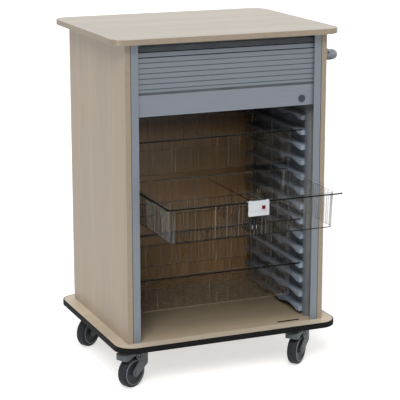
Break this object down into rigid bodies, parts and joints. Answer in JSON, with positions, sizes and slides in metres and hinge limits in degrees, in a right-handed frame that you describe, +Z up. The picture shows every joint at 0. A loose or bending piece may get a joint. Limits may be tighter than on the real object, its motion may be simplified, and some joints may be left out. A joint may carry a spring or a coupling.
{
  "type": "mobile tray cabinet with roller shutter",
  "caption": "Wheeled laminate cabinet with a grey roller shutter over clear sliding trays on moulded side runners, a side push handle and swivel casters.",
  "frame": {"origin": "middle of the footprint of the whole part at floor level, with one tray pulled out", "axes": "+Z up, -Y towards the open front, +X towards the side with the push handle"},
  "size_m": [0.8084, 0.8088, 1.116],
  "materials": {
    "laminate": "satin maple laminate",
    "bumper_black": "matte",
    "track_grey": "satin grey",
    "ladder_grey": "moulded",
    "bar_grey": "satin grey",
    "curtain_grey": "extruded",
    "steel": "zinc plated",
    "dark_steel": "blackened",
    "clear_plastic": "clear polycarbonate",
    "label_white": "satin",
    "mark_red": "satin",
    "handle_grey": "satin powder coat",
    "elbow_grey": "satin",
    "caster_grey": "moulded",
    "pedal_grey": "moulded",
    "tyre_black": "matte",
    "hub_grey": "moulded"
  },
  "bodies": {
    "cabinet": {"back_panel": "laminate", "base_board": "laminate", "base_bumper": "bumper_black", "caster_bolts": "steel", "caster_front_left_plate": "steel", "caster_front_right_plate": "steel", "caster_rear_left_plate": "steel", "caster_rear_right_plate": "steel", "handle_elbow_front": "elbow_grey", "handle_elbow_rear": "elbow_grey", "handle_screws": "dark_steel", "handle_tube": "handle_grey", "header_shelf": "laminate", "ladder_screws": "steel", "roller_bracket_left": "steel", "roller_bracket_right": "steel", "shutter_slats_upper": "curtain_grey", "side_panel_left": "laminate", "side_panel_right": "laminate", "top_board": "laminate", "track_left": "track_grey", "track_right": "track_grey", "tray_ladder_left": "ladder_grey", "tray_ladder_right": "ladder_grey", "tray_runners_left": "ladder_grey", "tray_runners_right": "ladder_grey"},
    "shutter": {"shutter_bottom_bar": "bar_grey", "shutter_slats": "curtain_grey"},
    "lock": {"lock_cylinder": "steel", "lock_cam": "steel"},
    "shutter_roller": {"roller_tube": "steel", "shutter_coil": "curtain_grey"},
    "tray_top_body": {"tray_top": "clear_plastic"},
    "tray_open_body": {"tray_open": "clear_plastic", "tray_divider": "clear_plastic", "label_holder": "label_white", "label_mark": "mark_red"},
    "tray_third_body": {"tray_third": "clear_plastic"},
    "tray_bottom_body": {"tray_bottom": "clear_plastic"},
    "front_left_swivel": {"caster_front_left_fork": "caster_grey", "caster_front_left_axle": "steel", "caster_front_left_brake_pin": "steel"},
    "front_left_wheel": {"caster_front_left_tyre": "tyre_black", "caster_front_left_hub": "hub_grey"},
    "front_left_brake": {"caster_front_left_brake_pedal": "pedal_grey"},
    "front_right_swivel": {"caster_front_right_fork": "caster_grey", "caster_front_right_axle": "steel", "caster_front_right_brake_pin": "steel"},
    "front_right_wheel": {"caster_front_right_tyre": "tyre_black", "caster_front_right_hub": "hub_grey"},
    "front_right_brake": {"caster_front_right_brake_pedal": "pedal_grey"},
    "rear_left_swivel": {"caster_rear_left_fork": "caster_grey", "caster_rear_left_axle": "steel"},
    "rear_left_wheel": {"caster_rear_left_tyre": "tyre_black", "caster_rear_left_hub": "hub_grey"},
    "rear_right_swivel": {"caster_rear_right_fork": "caster_grey", "caster_rear_right_axle": "steel"},
    "rear_right_wheel": {"caster_rear_right_tyre": "tyre_black", "caster_rear_right_hub": "hub_grey"}
  },
  "joints": [
    {"name": "shutter_slide", "type": "slide", "parent": "cabinet", "child": "shutter", "axis": [0, 0, -1], "range_m": [0, 0.215]},
    {"name": "lock_turn", "type": "hinge", "parent": "shutter", "child": "lock", "pos_m": [0.24175, -0.1716, 0.892], "axis": [0, -1, 0], "range_deg": [0, 90]},
    {"name": "roller_turn", "type": "hinge", "parent": "cabinet", "child": "shutter_roller", "pos_m": [-0.01825, -0.0986, 1.038], "axis": [1, 0, 0], "range_deg": [0, 300]},
    {"name": "tray_top_slide", "type": "slide", "parent": "cabinet", "child": "tray_top_body", "axis": [0, 1, 0], "range_m": [-0.38, 0]},
    {"name": "tray_open_slide", "type": "slide", "parent": "cabinet", "child": "tray_open_body", "axis": [0, 1, 0], "range_m": [-0.095, 0.285]},
    {"name": "tray_third_slide", "type": "slide", "parent": "cabinet", "child": "tray_third_body", "axis": [0, 1, 0], "range_m": [-0.38, 0]},
    {"name": "tray_bottom_slide", "type": "slide", "parent": "cabinet", "child": "tray_bottom_body", "axis": [0, 1, 0], "range_m": [-0.38, 0]},
    {"name": "front_left_swivel_turn", "type": "hinge", "parent": "cabinet", "child": "front_left_swivel", "pos_m": [-0.30625, -0.1436, 0.13], "axis": [0, 0, 1], "continuous": true},
    {"name": "front_left_wheel_spin", "type": "hinge", "parent": "front_left_swivel", "child": "front_left_wheel", "pos_m": [-0.3439, -0.16221, 0.05], "axis": [0.4431, -0.8965, 0], "continuous": true},
    {"name": "front_left_brake_press", "type": "hinge", "parent": "front_left_swivel", "child": "front_left_brake", "pos_m": [-0.33045, -0.15556, 0.105], "axis": [0.4431, -0.8965, 0], "range_deg": [0, 6]},
    {"name": "front_right_swivel_turn", "type": "hinge", "parent": "cabinet", "child": "front_right_swivel", "pos_m": [0.26975, -0.1436, 0.13], "axis": [0, 0, 1], "continuous": true},
    {"name": "front_right_wheel_spin", "type": "hinge", "parent": "front_right_swivel", "child": "front_right_wheel", "pos_m": [0.23781, -0.17088, 0.05], "axis": [0.6494, -0.7604, 0], "continuous": true},
    {"name": "front_right_brake_press", "type": "hinge", "parent": "front_right_swivel", "child": "front_right_brake", "pos_m": [0.24922, -0.16114, 0.105], "axis": [0.6494, -0.7604, 0], "range_deg": [0, 6]},
    {"name": "rear_left_swivel_turn", "type": "hinge", "parent": "cabinet", "child": "rear_left_swivel", "pos_m": [-0.30625, 0.2914, 0.13], "axis": [0, 0, 1], "continuous": true},
    {"name": "rear_left_wheel_spin", "type": "hinge", "parent": "rear_left_swivel", "child": "rear_left_wheel", "pos_m": [-0.34127, 0.26822, 0.05], "axis": [0.5519, -0.8339, 0], "continuous": true},
    {"name": "rear_right_swivel_turn", "type": "hinge", "parent": "cabinet", "child": "rear_right_swivel", "pos_m": [0.26975, 0.2914, 0.13], "axis": [0, 0, 1], "continuous": true},
    {"name": "rear_right_wheel_spin", "type": "hinge", "parent": "rear_right_swivel", "child": "rear_right_wheel", "pos_m": [0.23493, 0.26791, 0.05], "axis": [0.5592, -0.829, 0], "continuous": true}
  ],
  "couplings": [
    {"joint": "roller_turn", "follows": "shutter_slide", "rad_per_m": 22.222}
  ]
}
